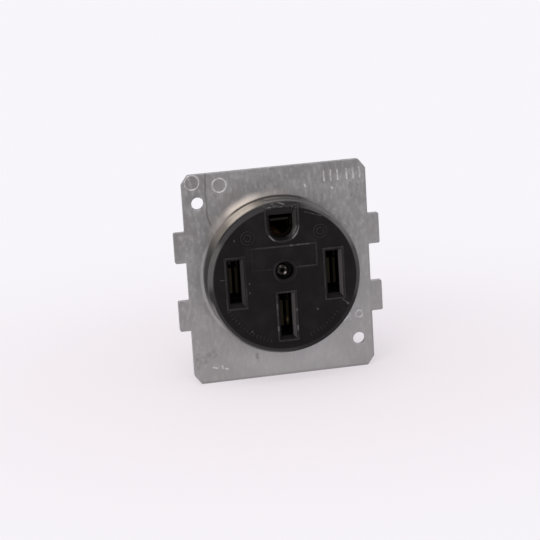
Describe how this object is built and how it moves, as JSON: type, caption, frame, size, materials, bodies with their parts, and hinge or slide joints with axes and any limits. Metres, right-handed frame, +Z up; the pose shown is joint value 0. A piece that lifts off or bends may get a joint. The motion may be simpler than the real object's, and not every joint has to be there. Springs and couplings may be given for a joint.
{
  "type": "straight blade receptacle",
  "caption": "Round black flush power receptacle with two hot slots, a neutral slot and a U-shaped ground, clamped to a square steel strap with side tabs.",
  "frame": {"origin": "on the axis of the face, in the plane of the strap's rear side", "axes": "+X to the right seen from the front, +Y back into the wall, +Z up towards the ground slot"},
  "size_m": [0.072, 0.0411, 0.074],
  "materials": {
    "black_moulding": "moulded black thermoset, satin, lightly scuffed",
    "zinc_plated_steel": "dull grey zinc plating, mottled, with scratches",
    "rivet_steel": "plated steel, slightly tarnished",
    "contact_brass": "dull brass sheet",
    "ground_bronze": "copper-coloured bronze sheet",
    "spring_steel": "grey spring steel",
    "lug_aluminium": "extruded, tin plated",
    "brass_screw": "machined",
    "silver_screw": "machined, nickel plated",
    "green_screw": "green passivated"
  },
  "bodies": {
    "root": {"front_face": "black_moulding", "rear_body": "black_moulding", "mounting_strap": "zinc_plated_steel", "centre_rivet": "rivet_steel", "rivet_washer": "rivet_steel", "ground_rivets": "rivet_steel", "hot_contact_right": "contact_brass", "hot_contact_left": "contact_brass", "neutral_contact": "contact_brass", "ground_contact": "ground_bronze", "hot_spring_right": "spring_steel", "hot_spring_left": "spring_steel", "neutral_spring": "spring_steel", "ground_spring": "spring_steel", "hot_lug_right": "lug_aluminium", "hot_lug_left": "lug_aluminium", "neutral_lug": "lug_aluminium", "ground_lug": "lug_aluminium", "hot_lug_screws": "brass_screw", "neutral_lug_screw": "silver_screw", "ground_lug_screw": "green_screw"}
  },
  "joints": []
}
